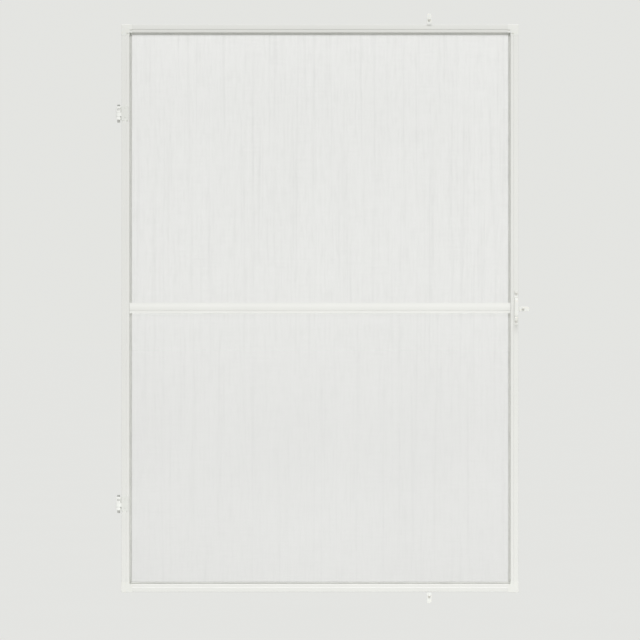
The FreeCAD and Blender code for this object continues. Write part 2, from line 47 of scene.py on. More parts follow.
# ------------------------------------------------------------------ sizes, millimetres
edge_x, frame_w, frame_h = 7.5, 1000.0, 1430.0
x0, x1 = edge_x, edge_x + frame_w
z_mid = -9.5
zb, zt = z_mid - frame_h / 2, z_mid + frame_h / 2
front_y = -16.0
z_bar = z_mid + 0.9
zc_up, zc_low = z_mid + 492.0, z_mid - 492.0
hx, hz = x1 - 6.0, z_bar + 0.6
bracket_half = 17.0


def lin(c):
    """sRGB level 0-255 to linear."""
    c = c / 255.0
    return c / 12.92 if c <= 0.04045 else ((c + 0.055) / 1.055) ** 2.4


def rgb(r, g, b):
    return (lin(r), lin(g), lin(b), 1.0)


def times(c, k):
    return (min(c[0] * k, 1.0), min(c[1] * k, 1.0), min(c[2] * k, 1.0), 1.0)


# ------------------------------------------------------------------ material tools
class Mat:
    """A node material that is put together with short calls."""

    def __init__(self, name):
        self.mat = bpy.data.materials.new(name)
        self.mat.use_nodes = True
        self.nt = self.mat.node_tree
        self.nt.nodes.clear()
        self.out = self.nt.nodes.new("ShaderNodeOutputMaterial")
        self.bsdf = self.nt.nodes.new("ShaderNodeBsdfPrincipled")
        self.nt.links.new(self.bsdf.outputs[0], self.out.inputs[0])
        self.tc = self.nt.nodes.new("ShaderNodeTexCoord")

    def link(self, a, b):
        self.nt.links.new(a, b)

    def set(self, **values):
        for key, value in values.items():
            self.bsdf.inputs[key.replace("_", " ")].default_value = value

    def mapped(self, scale=(1, 1, 1), rot=(0, 0, 0), loc=(0, 0, 0)):
        n = self.nt.nodes.new("ShaderNodeMapping")
        n.inputs["Scale"].default_value = scale
        n.inputs["Rotation"].default_value = rot
        n.inputs["Location"].default_value = loc
        self.link(self.tc.outputs["Object"], n.inputs["Vector"])
        return n.outputs["Vector"]

    def noise(self, scale, detail=2.0, rough=0.5, vector=None, distortion=0.0):
        n = self.nt.nodes.new("ShaderNodeTexNoise")
        n.inputs["Scale"].default_value = scale
        n.inputs["Detail"].default_value = detail
        n.inputs["Roughness"].default_value = rough
        n.inputs["Distortion"].default_value = distortion
        self.link(vector or self.tc.outputs["Object"], n.inputs["Vector"])
        return n.outputs["Fac"]

    def voronoi(self, scale, vector=None, feature="F1"):
        n = self.nt.nodes.new("ShaderNodeTexVoronoi")
        n.feature = feature
        n.inputs["Scale"].default_value = scale
        self.link(vector or self.tc.outputs["Object"], n.inputs["Vector"])
        return n.outputs["Distance"]

    def ramp(self, value, stops):
        n = self.nt.nodes.new("ShaderNodeValToRGB")
        els = n.color_ramp.elements
        els[0].position, els[0].color = stops[0]
        els[1].position, els[1].color = stops[-1]
        for pos, col in stops[1:-1]:
            e = els.new(pos)
            e.color = col
        self.link(value, n.inputs["Fac"])
        return n.outputs["Color"]

    def range(self, value, a, b, lo, hi):
        n = self.nt.nodes.new("ShaderNodeMapRange")
        n.inputs["From Min"].default_value = a
        n.inputs["From Max"].default_value = b
        n.inputs["To Min"].default_value = lo
        n.inputs["To Max"].default_value = hi
        self.link(value, n.inputs["Value"])
        return n.outputs["Result"]

    def math(self, op, a, b):
        n = self.nt.nodes.new("ShaderNodeMath")
        n.operation = op
        for i, v in enumerate((a, b)):
            if isinstance(v, (int, float)):
                n.inputs[i].default_value = v
            else:
                self.link(v, n.inputs[i])
        return n.outputs[0]

    def mix(self, fac, a, b, mode="MIX"):
        n = self.nt.nodes.new("ShaderNodeMix")
        n.data_type = "RGBA"
        n.blend_type = mode
        for i, v in ((0, fac), (6, a), (7, b)):
            if isinstance(v, (int, float, tuple, list)):
                n.inputs[i].default_value = v
            else:
                self.link(v, n.inputs[i])
        return n.outputs[2]

    def color(self, socket):
        self.link(socket, self.bsdf.inputs["Base Color"])

    def rough(self, socket):
        self.link(socket, self.bsdf.inputs["Roughness"])

    def bump(self, height, strength, distance, normal=None):
        n = self.nt.nodes.new("ShaderNodeBump")
        n.inputs["Strength"].default_value = strength
        n.inputs["Distance"].default_value = distance
        self.link(height, n.inputs["Height"])
        if normal is not None:
            self.link(normal, n.inputs["Normal"])
        return n.outputs["Normal"]

    def normal(self, socket):
        self.link(socket, self.bsdf.inputs["Normal"])


def powder_coat(name, c, peel=0.22, rough=(0.33, 0.43)):
    """Satin powder coat: orange peel a millimetre across, a dry fine grain and a faint cloudiness."""
    m = Mat(name)
    cloud = m.noise(7.0, 3.0, 0.55)
    grain = m.noise(2600.0, 2.0, 0.6)
    base = m.ramp(cloud, [(0.3, times(c, 0.982)), (0.7, times(c, 1.006))])
    m.color(m.mix(0.045, base, m.ramp(grain, [(0.35, times(c, 0.86)), (0.62, times(c, 1.05))])))
    m.rough(m.range(m.noise(60.0, 3.0), 0.3, 0.7, *rough))
    peel_h = m.noise(620.0, 2.0, 0.45)
    n1 = m.bump(peel_h, peel, 0.00009)
    m.normal(m.bump(grain, 0.06, 0.00003, n1))
    m.set(IOR=1.5, Specular_IOR_Level=0.5)
    return m.mat


def moulded(name, c, rough=(0.3, 0.4), grain_scale=1500.0, grain=0.1, subsurface=0.0, shine=0.5, upper_painted_shade=None):
    """Injection-moulded plastic with a fine spark-eroded texture and faint flow marks. upper_painted_shade:
    (z0, z1, share), the part above goes over into that share of the shade: painted shade that tones down a highlight
    there."""
    m = Mat(name)
    flow = m.noise(26.0, 3.0, 0.6, m.mapped((1.0, 1.0, 0.35)), 0.4)
    fine = m.noise(grain_scale, 3.0, 0.55)
    base = m.ramp(flow, [(0.3, times(c, 0.975)), (0.7, times(c, 1.008))])
    if upper_painted_shade is not None:
        sep = m.nt.nodes.new("ShaderNodeSeparateXYZ")
        m.link(m.tc.outputs["Object"], sep.inputs[0])
        painted_shade_tone = m.ramp(flow, [(0.3, times(c, 0.975 * upper_painted_shade[2])), (0.7, times(c, 1.008 * upper_painted_shade[2]))])
        base = m.mix(m.range(sep.outputs["Z"], upper_painted_shade[0], upper_painted_shade[1], 0.0, 1.0), base, painted_shade_tone)
    m.color(m.mix(0.05, base, m.ramp(fine, [(0.35, times(c, 0.85)), (0.6, times(c, 1.04))])))
    m.rough(m.range(m.noise(90.0, 2.0), 0.3, 0.7, *rough))
    m.normal(m.bump(fine, grain, 0.00005))
    m.set(IOR=1.49, Specular_IOR_Level=shine)
    if subsurface:
        m.set(Subsurface_Weight=subsurface, Subsurface_Radius=(0.004, 0.0036, 0.003), Subsurface_Scale=0.5)
    return m.mat


def enamel(name, c, c_plate_painted_shade=None):
    """Gloss paint on a die casting: soft waves under a smooth coat. Where c_plate_painted_shade is given, the colour
    goes over into that shade past the knuckle:
    painted light and shade, the knuckle painted lighter than the flat plate, one paint lit differently."""
    m = Mat(name)
    wave = m.noise(190.0, 2.0, 0.5)
    cloud = m.noise(35.0, 3.0, 0.5)
    col = m.ramp(cloud, [(0.3, times(c, 0.985)), (0.7, times(c, 1.008))])
    if c_plate_painted_shade is not None:
        sep = m.nt.nodes.new("ShaderNodeSeparateXYZ")
        m.link(m.tc.outputs["Object"], sep.inputs[0])
        plate_painted_shade = m.ramp(cloud, [(0.3, times(c_plate_painted_shade, 0.985)), (0.7, times(c_plate_painted_shade, 1.008))])
        col = m.mix(m.range(sep.outputs["X"], 0.0052, 0.0075, 0.0, 1.0), col, plate_painted_shade)
    m.color(col)
    m.rough(m.range(wave, 0.3, 0.7, 0.2, 0.28))
    m.normal(m.bump(wave, 0.16, 0.00012))
    m.set(IOR=1.5, Coat_Weight=0.25, Coat_Roughness=0.12)
    return m.mat


def thread_cloth(name, c):
    """White coated fibre. Its lightness wanders along each thread and from thread to thread,
    more strongly up and down the sheet than across it; the sheet grows darker and patchier towards the bottom."""
    m = Mat(name)
    warp = m.noise(1.0, 2.0, 0.5, m.mapped((170.0, 0.0, 20.0)))
    warp2 = m.noise(1.0, 2.0, 0.6, m.mapped((92.0, 0.0, 1.8), loc=(7.3, 0, 2.1)))
    weft = m.noise(1.0, 2.0, 0.6, m.mapped((16.0, 0.0, 260.0), loc=(3.1, 0, 5.7)))
    patch = m.noise(3.2, 2.0, 0.5)
    a = m.ramp(warp, [(0.3, times(c, 0.74)), (0.5, times(c, 0.985)), (0.68, times(c, 1.12))])
    b = m.ramp(warp2, [(0.32, times(c, 0.68)), (0.45, times(c, 0.96)), (0.6, times(c, 1.0)), (0.7, times(c, 1.12))])
    d = m.ramp(weft, [(0.3, times(c, 0.86)), (0.5, c), (0.7, times(c, 1.08))])
    mixed = m.mix(0.5, a, b)
    mixed = m.mix(0.34, mixed, d)
    mixed = m.mix(0.12, mixed, m.ramp(patch, [(0.3, times(c, 0.92)), (0.7, times(c, 1.05))]))
    height = m.nt.nodes.new("ShaderNodeSeparateXYZ")
    m.link(m.tc.outputs["Object"], height.inputs[0])
    # darker and patchier towards the bottom of the sheet
    lower_darkening = m.range(height.outputs["Z"], -0.30, 0.05, 0.78, 0.0)
    m.color(m.mix(lower_darkening, mixed, m.mix(0.55, mixed, m.ramp(patch, [(0.3, times(c, 0.74)), (0.7, times(c, 0.82))]))))
    m.rough(m.range(warp, 0.3, 0.7, 0.5, 0.68))
    m.normal(m.bump(m.noise(9000.0, 2.0), 0.15, 0.00002))
    m.set(Sheen_Weight=0.12, Sheen_Roughness=0.5, IOR=1.46)
    return m.mat


def soft_cord(name, c):
    """Soft PVC cord, slightly dusty in its ribs."""
    m = Mat(name)
    cloud = m.noise(24.0, 3.0, 0.6)
    fine = m.noise(1900.0, 3.0, 0.6)
    base = m.ramp(cloud, [(0.3, times(c, 0.9)), (0.7, times(c, 1.06))])
    m.color(m.mix(0.1, base, m.ramp(fine, [(0.35, times(c, 0.7)), (0.65, times(c, 1.35))])))
    m.rough(m.range(fine, 0.3, 0.7, 0.5, 0.66))
    m.normal(m.bump(fine, 0.2, 0.00004))
    m.set(IOR=1.5)
    return m.mat


def pile_fibre(name, c):
    """Grey polypropylene pile: tufts of slightly different greys."""
    m = Mat(name)
    tuft = m.noise(900.0, 2.0, 0.7)
    run = m.noise(14.0, 2.0, 0.5)
    base = m.ramp(tuft, [(0.28, times(c, 0.62)), (0.5, c), (0.72, times(c, 1.4))])
    m.color(m.mix(0.2, base, m.ramp(run, [(0.3, times(c, 0.85)), (0.7, times(c, 1.12))])))
    m.rough(m.range(tuft, 0.3, 0.7, 0.55, 0.75))
    m.set(Sheen_Weight=0.25, Sheen_Roughness=0.45)
    return m.mat


def plated(name, c, rough=(0.3, 0.46), scratch=0.12, scale=(40.0, 2200.0, 2200.0)):
    """Plated steel with drawing lines and a slightly cloudy passivation."""
    m = Mat(name)
    lines = m.noise(1.0, 2.0, 0.6, m.mapped(scale))
    cloud = m.noise(420.0, 3.0, 0.6)
    m.color(m.ramp(cloud, [(0.3, times(c, 0.8)), (0.7, times(c, 1.12))]))
    m.rough(m.range(cloud, 0.3, 0.7, *rough))
    m.normal(m.bump(lines, scratch, 0.00003))
    m.set(Metallic=1.0)
    return m.mat


WHITE = rgb(230, 230.3, 226.5)
mats = {
    "frame_paint": powder_coat("frame_paint", WHITE),
    # the top rail's paint is a darker copy of the frame paint: painted shade, the same paint with less light on it
    "top_rail_painted_shade": powder_coat("top_rail_painted_shade", rgb(224.5, 225, 221)),
    # the cross bar's paint is a lighter copy of the frame paint: painted light, the same paint with more light on it
    "bar_paint_painted_light": powder_coat("bar_paint_painted_light", rgb(234, 234.3, 230.5), 0.2),
    "corner_plastic": moulded("corner_plastic", rgb(232.7, 233.2, 228.7), (0.3, 0.38), 1500.0, 0.1, 0.05),
    "connector_plastic": moulded("connector_plastic", rgb(238, 239, 233), (0.35, 0.45), 1200.0, 0.12, 0.05),
    "mesh_cloth": thread_cloth("mesh_cloth", rgb(249.5, 249.5, 249)),
    "spline_pvc": soft_cord("spline_pvc", rgb(212, 213, 208)),
    "brush_pile": pile_fibre("brush_pile", rgb(150, 151, 149)),
    "hinge_plastic": enamel("hinge_enamel", rgb(247, 247.5, 244)),
    # the leaf's knuckle is painted lighter than its flat plate: painted light and shade on one paint
    "leaf_enamel_painted_light": enamel("leaf_enamel_painted_light", rgb(245, 246, 242), rgb(227, 228, 223)),
    "pin_steel": plated("pin_steel", rgb(212, 212, 208)),
    "grey_plastic": moulded("grey_plastic", rgb(170, 171, 167), (0.4, 0.5), 900.0, 0.15),
    "washer_nylon": moulded("washer_nylon", rgb(226, 227, 222), (0.42, 0.52), 900.0, 0.15),
    "white_screw": enamel("white_screw", rgb(230, 231, 226)),
    # the bow's upper end is painted darker: painted shade against the key light's highlight on it
    "handle_plastic": moulded("handle_plastic", rgb(236, 236.5, 232), (0.42, 0.5), 700.0, 0.05, 0.08, 0.3,
                              (0.0115, 0.0165, 0.93)),
    "button_plastic": moulded("button_plastic", rgb(238, 238.5, 234), (0.32, 0.4), 900.0, 0.07, 0.08),
    "zinc_screw": plated("zinc_screw", rgb(229, 228, 223), (0.52, 0.64), 0.1, (900.0, 900.0, 900.0)),
}

node_mat = {
    "cross_bar": "bar_paint_painted_light",
    "hinge_stile": "frame_paint", "latch_stile": "frame_paint", "top_rail": "top_rail_painted_shade", "bottom_rail": "frame_paint",
    "corner_top_left": "corner_plastic", "corner_top_right": "corner_plastic",
    "corner_bottom_left": "corner_plastic", "corner_bottom_right": "corner_plastic",
    "cross_bar_connector_left": "connector_plastic", "cross_bar_connector_right": "connector_plastic",
    "insect_mesh": "mesh_cloth",
    "spline_top": "spline_pvc", "spline_bottom": "spline_pvc", "spline_left": "spline_pvc", "spline_right": "spline_pvc",
    "brush_seal_top": "brush_pile", "brush_seal_bottom": "brush_pile",
    "brush_seal_left": "brush_pile", "brush_seal_right": "brush_pile",
    "hinge_bracket_upper": "hinge_plastic", "hinge_bracket_lower": "hinge_plastic",
    "hinge_leaf_upper": "leaf_enamel_painted_light", "hinge_leaf_lower": "leaf_enamel_painted_light",
    "hinge_pin_upper": "pin_steel", "hinge_pin_lower": "pin_steel",
    "hinge_washers": "washer_nylon", "hinge_caps": "grey_plastic",
    "leaf_screws": "white_screw", "pull_handle": "handle_plastic", "handle_screws": "zinc_screw",
    "turn_button_top": "button_plastic", "turn_button_bottom": "button_plastic", "turn_button_side": "button_plastic",
    "turn_button_screws": "zinc_screw",
}
for name, obj in nodes.items():
    obj.data.materials.clear()
    obj.data.materials.append(mats[node_mat[name]])


# ------------------------------------------------------------------ mesh tools
def make_object(name, verts, faces, mat, smooth=True):
    """verts in millimetres."""
    me = bpy.data.meshes.new(name)
    v = np.asarray(verts, float) * MM
    if isinstance(faces, np.ndarray):
        f = faces
        n, k = f.shape
        me.vertices.add(len(v))
        me.vertices.foreach_set("co", v.astype(np.float32).ravel())
        me.loops.add(n * k)
        me.loops.foreach_set("vertex_index", f.astype(np.int32).ravel())
        me.polygons.add(n)
        me.polygons.foreach_set("loop_start", np.arange(0, n * k, k, dtype=np.int32))
        me.polygons.foreach_set("loop_total", np.full(n, k, dtype=np.int32))
        me.update(calc_edges=True)
    else:
        me.from_pydata([tuple(p) for p in v], [], [tuple(q) for q in faces])
    me.validate()
    me.polygons.foreach_set("use_smooth", [smooth] * len(me.polygons))
    me.materials.append(mat)
    ob = bpy.data.objects.new(name, me)
    scene.collection.objects.link(ob)
    return ob


def wave(rng, n, length, low=2, high=7):
    """A smooth random wave, n samples, about -1 to 1."""
    t = np.linspace(0, 1, n)
    out = np.zeros(n)
    for k in range(low, high):
        out += np.sin(2 * math.pi * (k * t * 0.5 + rng.random())) * rng.normal(0, 1) / math.sqrt(high - low)
    return out


# ------------------------------------------------------------------ woven sheet
def woven_sheet():
    """Every thread of the sheet, laid on its own line, crossing over the others, its ends turned
    down into the groove all round."""
    rng = np.random.default_rng(41)
    u = 24.82
    xa, xb, za, zb_ = x0 + u, x1 - u, zb + u, zt - u
    y_face = front_y + 7.85
    px, pz = 1.35, 1.45
    nseg = 8
    verts, faces = [], []

    def thread(line, wide, thick, across):
        """line: points (n, 3); across: unit vector of the thread's width; thick is along +-Y or its turn."""
        n = len(line)
        tang = np.gradient(line, axis=0)
        tang /= np.linalg.norm(tang, axis=1)[:, None]
        a = np.tile(np.array(across, float), (n, 1))
        b = np.cross(tang, a)
        b /= np.linalg.norm(b, axis=1)[:, None]
        wa, tb = a * wide[:, None] / 2, b * thick / 2
        ring = np.stack([line - wa - tb, line + wa - tb, line + wa + tb, line - wa + tb], axis=1)
        v = ring.reshape(-1, 3)
        i = np.arange(n - 1)[:, None] * 4
        q = np.array([[0, 1, 5, 4], [1, 2, 6, 5], [2, 3, 7, 6], [3, 0, 4, 7]])
        f = (i[:, :, None] + q[None]).reshape(-1, 4)
        caps = np.array([[3, 2, 1, 0], [4 * n - 4, 4 * n - 3, 4 * n - 2, 4 * n - 1]])
        verts.append(v)
        faces.append(np.concatenate([f, caps]))

    xs = np.arange(xa + 0.5, xb - 0.4, px)
    zs = np.arange(za + 0.5, zb_ - 0.4, pz)
    # slow drift of the lines, so that they crowd and open a little, as woven goods do
    drift_x = np.interp(xs, np.linspace(xa, xb, 90), rng.normal(0, 0.1, 90))
    drift_z = np.interp(zs, np.linspace(za, zb_, 110), rng.normal(0, 0.08, 110))
    bow = lambda t: np.sin(math.pi * t)
    for k, x in enumerate(xs):
        t = np.linspace(0, 1, nseg + 1)
        t = t + np.concatenate([[0], rng.uniform(-0.02, 0.02, nseg - 1), [0]])
        z = za + 0.55 + (zb_ - za - 1.1) * t
        side = drift_x[k] + rng.normal(0, 0.05) * bow(t) + rng.normal(0, 0.04, nseg + 1)
        sag = rng.normal(0, 0.012, nseg + 1)
        line = np.stack([x + side, y_face - 0.09 + sag, z], axis=1)
        first, last = line[0], line[-1]
        line = np.concatenate([[[first[0], y_face + 3.3, za], [first[0], y_face + 0.35, za]], line,
                               [[last[0], y_face + 0.35, zb_], [last[0], y_face + 3.3, zb_]]])
        wide = 0.31 * (1 + rng.normal(0, 0.07)) * (1 + rng.normal(0, 0.04, len(line)))
        thread(line, np.clip(wide, 0.24, 0.40), 0.21, (1, 0, 0))
    for k, zz in enumerate(zs):
        t = np.linspace(0, 1, nseg + 1)
        t = t + np.concatenate([[0], rng.uniform(-0.02, 0.02, nseg - 1), [0]])
        x = xa + 0.55 + (xb - xa - 1.1) * t
        side = drift_z[k] + rng.normal(0, 0.05) * bow(t) + rng.normal(0, 0.04, nseg + 1)
        sag = rng.normal(0, 0.012, nseg + 1)
        line = np.stack([x, y_face + 0.09 + sag, zz + side], axis=1)
        first, last = line[0], line[-1]
        line = np.concatenate([[[xa, y_face + 3.3, first[2]], [xa, y_face + 0.45, first[2]]], line,
                               [[xb, y_face + 0.45, last[2]], [xb, y_face + 3.3, last[2]]]])
        wide = 0.31 * (1 + rng.normal(0, 0.06)) * (1 + rng.normal(0, 0.04, len(line)))
        thread(line, np.clip(wide, 0.24, 0.40), 0.21, (0, 0, 1))
    # the threads that run along the turned-down edge, inside the groove
    for deep in (0.75, 1.75, 2.85):
        t = np.linspace(0, 1, nseg + 1)
        one = np.ones(nseg + 1)
        for x in (xa + 0.07, xb - 0.07):
            line = np.stack([x * one, y_face + deep + rng.normal(0, 0.03, nseg + 1), za + (zb_ - za) * t], axis=1)
            thread(line, 0.31 * one, 0.19, (0, 1, 0))
        for z in (za + 0.07, zb_ - 0.07):
            line = np.stack([xa + (xb - xa) * t, y_face + deep + rng.normal(0, 0.03, nseg + 1), z * one], axis=1)
            thread(line, 0.31 * one, 0.19, (0, 1, 0))
    off = 0
    for i, v in enumerate(verts):
        faces[i] = faces[i] + off
        off += len(v)
    ob = make_object("insect_weave", np.concatenate(verts), np.concatenate(faces), mats["mesh_cloth"])
    return ob


weave = woven_sheet()
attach(weave, "screen")
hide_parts("insect_mesh")


# ------------------------------------------------------------------ spline cords
def to_row(side, u, v, s):
    """(u across the section from the outer edge, v behind the front face, s along) to x, y, z."""
    if side == "left":
        return (x0 + u, front_y + v, zb + s)
    if side == "right":
        return (x1 - u, front_y + v, zb + s)
    if side == "bottom":
        return (x0 + s, front_y + v, zb + u)
    return (x0 + s, front_y + v, zt - u)


def ribbed_cord(name, side, s0, s1, seed):
    """Ribbed cord, squeezed into the groove by a roller: its depth and lean wander a little."""
    rng = np.random.default_rng(seed)
    n = max(60, int((s1 - s0) / 9.0))
    ribs, k = 12, 48
    cu, cv, r = 22.73, 9.5, 1.9
    s = np.concatenate([[s0], np.linspace(s0 + 0.3, s1 - 0.3, n - 2), [s1]])
    dip = wave(rng, n, s1 - s0, 4, 22) * 0.06
    lean = wave(rng, n, s1 - s0, 3, 18) * 0.008
    verts = []
    for i in range(n):
        end = 0.0
        if i in (0, n - 1):
            end = 0.25
        for j in range(k):
            a = 2 * math.pi * j / k
            squash = (abs(math.sin(a)) ** 3.0 + abs(math.cos(a)) ** 3.0) ** (-1 / 3.0)
            rr = (r - end) * (0.955 + 0.045 * math.cos(ribs * a)) * squash
            du, dv = rr * math.sin(a) * 1.032, -rr * math.cos(a)
            dv = dv * (1.02 if dv < 0 else 1.08)
            verts.append(to_row(side, cu + du + lean[i], cv + dv + dip[i], s[i]))
    faces = []
    flip = side in ("right", "bottom")
    for i in range(n - 1):
        for j in range(k):
            a, b = i * k + j, i * k + (j + 1) % k
            q = [a, b, b + k, a + k]
            faces.append(q[::-1] if flip else q)
    c0, c1 = len(verts), len(verts) + 1
    verts.append(to_row(side, cu, cv, s0 - 0.02))
    verts.append(to_row(side, cu, cv, s1 + 0.02))
    for j in range(k):
        a, b = j, (j + 1) % k
        t0 = [b, a, c0]
        t1 = [(n - 1) * k + a, (n - 1) * k + b, c1]
        faces.append(t0[::-1] if flip else t0)
        faces.append(t1[::-1] if flip else t1)
    ob = make_object(name, verts, faces, mats["spline_pvc"])
    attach(ob, "screen")
    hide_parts("spline_" + side)
    return ob


ribbed_cord("spline_cord_top", "top", 21.0, frame_w - 21.0, 11)
ribbed_cord("spline_cord_bottom", "bottom", 21.0, frame_w - 21.0, 12)
ribbed_cord("spline_cord_left", "left", 25.0, frame_h - 25.0, 13)
ribbed_cord("spline_cord_right", "right", 25.0, frame_h - 25.0, 14)


# ------------------------------------------------------------------ pile seals
def pile_seal(name, side, s0, s1, seed):
    """Woven backing in the T-slot and dense tufts of fibre that stand out of it to the mounting plane."""
    rng = np.random.default_rng(seed)
    verts, faces = [], []
    # backing: a ribbed strip, 5.3 mm wide
    n = int((s1 - s0) / 6.0)
    prof = [(2.85, 11.6), (3.6, 11.5), (4.6, 11.55), (5.5, 11.5), (6.4, 11.55), (7.4, 11.5), (8.15, 11.6), (8.15, 12.7),
            (6.9, 12.78), (6.3, 12.9), (5.5, 12.98), (4.7, 12.9), (4.1, 12.78), (2.85, 12.7)]
    k = len(prof)
    for i in range(n + 1):
        s = s0 + (s1 - s0) * i / n
        for u, v in prof:
            verts.append(to_row(side, u, v, s))
    flip = side in ("left", "top")
    for i in range(n):
        for j in range(k):
            a, b = i * k + j, i * k + (j + 1) % k
            q = [a, b, b + k, a + k]
            faces.append(q[::-1] if flip else q)
    cap0 = list(range(k))
    cap1 = [n * k + j for j in range(k)]
    faces.append(cap0 if flip else cap0[::-1])
    faces.append(cap1[::-1] if flip else cap1)
    # fibres: four-sided tapered blades in rows
    s = s0 + 0.6
    while s < s1 - 0.6:
        for row in range(4):
            u = 4.55 + row * 0.63 + rng.normal(0, 0.09)
            ss = min(max(s + rng.normal(0, 0.22), s0 + 0.3), s1 - 0.3)
            tip_u = u + rng.normal(0, 0.2) + (row - 1.5) * 0.08
            tip_s = min(max(ss + rng.normal(0, 0.3), s0 + 0.2), s1 - 0.2)
            tip_v = 15.9 - abs(rng.normal(0, 0.16))
            tip_u = min(max(tip_u, 4.3), 6.7)
            w = 0.24
            ang = rng.uniform(0, math.pi)
            base = len(verts)
            for frac, ww in ((0.0, w), (1.0, w * 0.45)):
                cu = u + (tip_u - u) * frac
                cs = ss + (tip_s - ss) * frac
                cv = 12.7 + (tip_v - 12.7) * frac
                for q in range(3):
                    a = ang + q * 2 * math.pi / 3
                    verts.append(to_row(side, cu + ww * math.cos(a), cv, cs + ww * math.sin(a)))
            for q in range(3):
                a, b = base + q, base + (q + 1) % 3
                f = [a, b, b + 3, a + 3]
                faces.append(f if flip else f[::-1])
            top = [base + 3, base + 4, base + 5]
            bot = [base + 2, base + 1, base]
            faces.append(top if flip else top[::-1])
            faces.append(bot if flip else bot[::-1])
        s += 0.86
    ob = make_object(name, verts, faces, mats["brush_pile"], smooth=False)
    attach(ob, "screen")
    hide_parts("brush_seal_" + side)
    return ob


pile_seal("pile_seal_top", "top", 2.9, frame_w - 2.9, 21)
pile_seal("pile_seal_bottom", "bottom", 2.9, frame_w - 2.9, 22)
pile_seal("pile_seal_left", "left", 8.6, frame_h - 8.6, 23)
pile_seal("pile_seal_right", "right", 8.6, frame_h - 8.6, 24)


# ------------------------------------------------------------------ screws
def lathe(profile, n, thread=None):
    """profile: (radius, depth along +Y) from the head's middle to the tip. thread: (y0, y1, pitch, height)
    cuts a helical thread between those depths. Returns verts, faces with the axis on +Y at the origin."""
    verts, faces = [], []
    rows = []
    for r, y in profile:
        if r < 1e-6:
            rows.append([len(verts)])
            verts.append((0.0, y, 0.0))
            continue
        row = []
        for j in range(n):
            a = 2 * math.pi * j / n
            rr = r
            if thread and thread[0] <= y <= thread[1]:
                ph = (y / thread[2] - j / n) % 1.0
                tri = max(0.0, 1.0 - abs(ph - 0.5) / 0.28)
                fade = min(1.0, (y - thread[0]) / (thread[2] * 0.8), (thread[1] - y) / (thread[2] * 0.8))
                rr = r - thread[3] + thread[3] * tri * max(fade, 0.0) if r > thread[3] + 0.1 else r
            row.append(len(verts))
            verts.append((rr * math.cos(a), y, rr * math.sin(a)))
        rows.append(row)
    for a, b in zip(rows[:-1], rows[1:]):
        if len(a) == 1 and len(b) == 1:
            continue
        for j in range(n):
            k = (j + 1) % n
            if len(a) == 1:
                faces.append((a[0], b[j], b[k]))
            elif len(b) == 1:
                faces.append((a[j], b[0], a[k]))
            else:
                faces.append((a[j], b[j], b[k], a[k]))
    return verts, faces


def cross_cutter(size, depth, y0):
    """A tapered four-winged plug, as a cross-head driver leaves it."""
    bm = bmesh.new()
    w0, w1 = size * 0.27, size * 0.15
    l0, l1 = size, size * 0.42

    def outline(l, w):
        return [(l, w), (w, w), (w, l), (-w, l), (-w, w), (-l, w), (-l, -w), (-w, -w), (-w, -l), (w, -l), (w, -w), (l, -w)]

    rings = []
    for (l, w, y) in ((l0 * 1.04, w0 * 1.04, y0 - 0.6), (l0, w0, y0), (l1, w1, y0 + depth)):
        rings.append([bm.verts.new((x * MM, y * MM, z * MM)) for x, z in outline(l, w)])
    for a, b in zip(rings[:-1], rings[1:]):
        for j in range(12):
            k = (j + 1) % 12
            bm.faces.new((a[j], a[k], b[k], b[j]))
    bm.faces.new(rings[0][::-1])
    tip = bm.verts.new((0, (y0 + depth + size * 0.16) * MM, 0))
    for j in range(12):
        bm.faces.new((rings[-1][j], rings[-1][(j + 1) % 12], tip))
    bmesh.ops.recalc_face_normals(bm, faces=bm.faces)
    me = bpy.data.meshes.new("cutter")
    bm.to_mesh(me)
    bm.free()
    return bpy.data.objects.new("cutter", me)


def screw_mesh(profile, n, thread, recess, turn):
    """One screw with its recess cut, as a mesh about the origin."""
    v, f = lathe(profile, n, thread)
    me = bpy.data.meshes.new("screw")
    me.from_pydata([tuple(c * MM for c in p) for p in v], [], f)
    bm = bmesh.new()
    bm.from_mesh(me)
    bmesh.ops.recalc_face_normals(bm, faces=bm.faces)
    bm.to_mesh(me)
    bm.free()
    ob = bpy.data.objects.new("screw", me)
    cut = cross_cutter(*recess)
    cut.rotation_euler = (0, turn, 0)
    scene.collection.objects.link(ob)
    scene.collection.objects.link(cut)
    mod = ob.modifiers.new("recess", "BOOLEAN")
    mod.operation = "DIFFERENCE"
    mod.solver = "EXACT"
    mod.object = cut
    bpy.context.view_layer.update()
    done = bpy.data.meshes.new_from_object(ob.evaluated_get(bpy.context.evaluated_depsgraph_get()))
    bpy.data.objects.remove(ob)
    bpy.data.objects.remove(cut)
    return done


def screws(name, node, mat, body, places, profile, n, thread, recess):
    rng = random.Random(len(name))
    bm = bmesh.new()
    for x, y, z in places:
        me = screw_mesh(profile, n, thread, recess, rng.uniform(0.1, 1.4))
        me.transform(Matrix.Translation(Vector((x, y, z)) * MM))
        bm.from_mesh(me)
        bpy.data.meshes.remove(me)
    me = bpy.data.meshes.new(name)
    bm.to_mesh(me)
    bm.free()
    me.materials.clear()
    me.materials.append(mats[mat])
    for p in me.polygons:
        p.material_index = 0
    me.polygons.foreach_set("use_smooth", [True] * len(me.polygons))
    me.set_sharp_from_angle(angle=math.radians(32))
    ob = bpy.data.objects.new(name, me)
    scene.collection.objects.link(ob)
    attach(ob, body)
    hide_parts(node)
    return ob


def steps(y0, y1, r, step):
    n = max(2, int((y1 - y0) / step))
    return [(r, y0 + (y1 - y0) * i / n) for i in range(n + 1)]


def dome(r, h, y_top, n=7):
    """Half-round head profile from its middle to its rim."""
    out = []
    for i in range(n + 1):
        a = math.pi / 2 * i / n
        out.append((r * math.sin(a), y_top + h * (1 - math.cos(a))))
    return out


